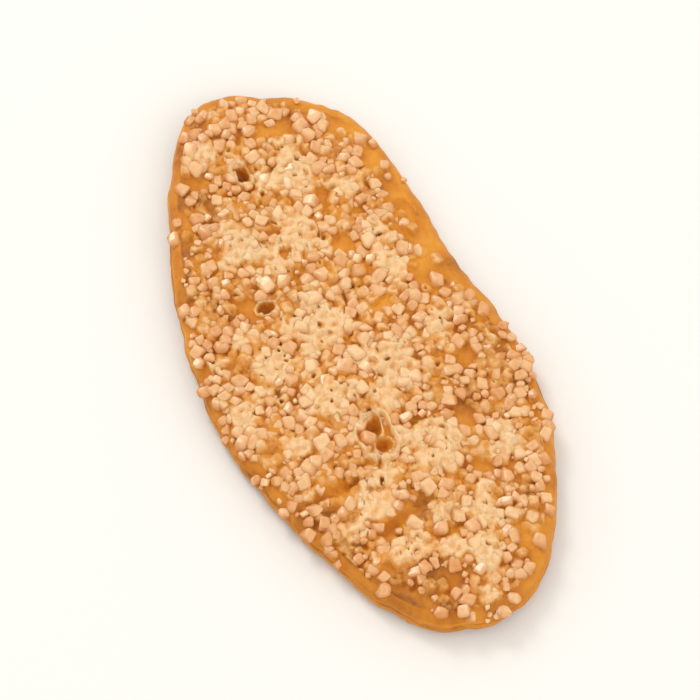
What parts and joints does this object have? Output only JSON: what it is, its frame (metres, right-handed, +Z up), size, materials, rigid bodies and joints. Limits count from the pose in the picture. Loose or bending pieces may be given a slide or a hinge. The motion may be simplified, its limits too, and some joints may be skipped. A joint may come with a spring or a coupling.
{
  "type": "sugared puff pastry cookie",
  "caption": "Thin oval puff pastry cookie, baked flat, with coarse sugar crystals set into its upper face and a bare golden rim; a sweet biscuit to eat by hand.",
  "frame": {"origin": "under the middle of the cookie, on the flat spot of its underside", "axes": "+X along the cookie, +Y across it, +Z up out of the sugared face"},
  "size_m": [0.0878, 0.043, 0.0064],
  "materials": {
    "crust": "baked puff pastry, golden to caramel brown, with a satin gloss where butter and sugar have melted",
    "sugar": "coarse sugar crystals, warm cream and half clear, faceted, with browned gaps between them"
  },
  "bodies": {
    "root": {"cookie": "crust"}
  },
  "joints": []
}
